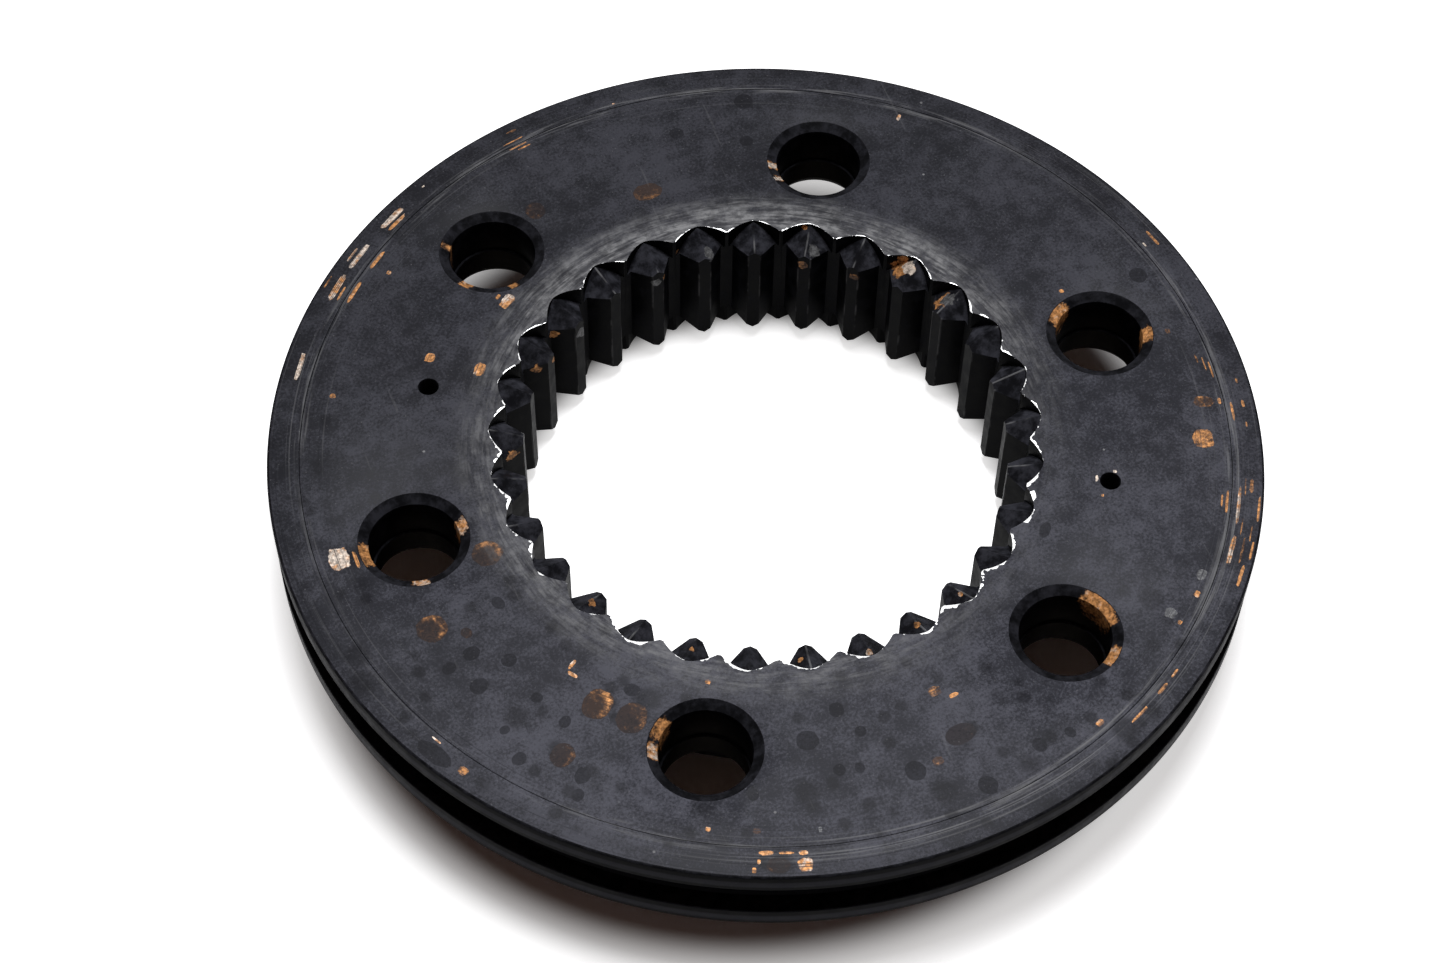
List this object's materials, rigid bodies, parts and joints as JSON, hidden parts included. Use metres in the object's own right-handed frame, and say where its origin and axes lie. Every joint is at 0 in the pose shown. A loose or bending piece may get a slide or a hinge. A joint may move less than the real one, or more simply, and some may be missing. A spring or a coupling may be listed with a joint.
{
  "type": "slewing ring bearing",
  "caption": "Slewing ring bearing: toothed-bore inner ring with bolt holes and a hub, turning in a grooved outer ring on a caged ball row.",
  "frame": {"origin": "on the ring's axis, in the plane of the hub's foot, on which the part stands", "axes": "+Z along the ring's axis towards the flush top face; +X through the middle of a bolt hole"},
  "size_m": [0.2, 0.2, 0.03],
  "materials": {
    "black_oxide": "black oxide on turned steel, oiled, with handling chips to bare metal",
    "bearing_steel": "ground and polished",
    "cage_polymer": "moulded, natural colour",
    "seal_rubber": "moulded black nitrile"
  },
  "bodies": {
    "inner_ring_body": {"inner_ring": "black_oxide"},
    "outer_ring_body": {"outer_ring": "black_oxide", "upper_seal": "seal_rubber", "lower_seal": "seal_rubber", "loading_plug": "bearing_steel", "plug_pin": "bearing_steel"},
    "cage_body": {"ball_cage": "cage_polymer", "ball_01": "bearing_steel", "ball_02": "bearing_steel", "ball_03": "bearing_steel", "ball_04": "bearing_steel", "ball_05": "bearing_steel", "ball_06": "bearing_steel", "ball_07": "bearing_steel", "ball_08": "bearing_steel", "ball_09": "bearing_steel", "ball_10": "bearing_steel", "ball_11": "bearing_steel", "ball_12": "bearing_steel", "ball_13": "bearing_steel", "ball_14": "bearing_steel", "ball_15": "bearing_steel", "ball_16": "bearing_steel", "ball_17": "bearing_steel", "ball_18": "bearing_steel", "ball_19": "bearing_steel", "ball_20": "bearing_steel", "ball_21": "bearing_steel", "ball_22": "bearing_steel", "ball_23": "bearing_steel", "ball_24": "bearing_steel", "ball_25": "bearing_steel", "ball_26": "bearing_steel", "ball_27": "bearing_steel", "ball_28": "bearing_steel", "ball_29": "bearing_steel", "ball_30": "bearing_steel", "ball_31": "bearing_steel", "ball_32": "bearing_steel", "ball_33": "bearing_steel", "ball_34": "bearing_steel", "ball_35": "bearing_steel", "ball_36": "bearing_steel"}
  },
  "joints": [
    {"name": "outer_ring_turn", "type": "hinge", "parent": "inner_ring_body", "child": "outer_ring_body", "pos_m": [0, 0, 0.021], "axis": [0, 0, 1], "continuous": true},
    {"name": "cage_turn", "type": "hinge", "parent": "inner_ring_body", "child": "cage_body", "pos_m": [0, 0, 0.021], "axis": [0, 0, 1], "continuous": true}
  ],
  "couplings": [
    {"joint": "cage_turn", "follows": "outer_ring_turn", "ratio": 0.5119}
  ]
}
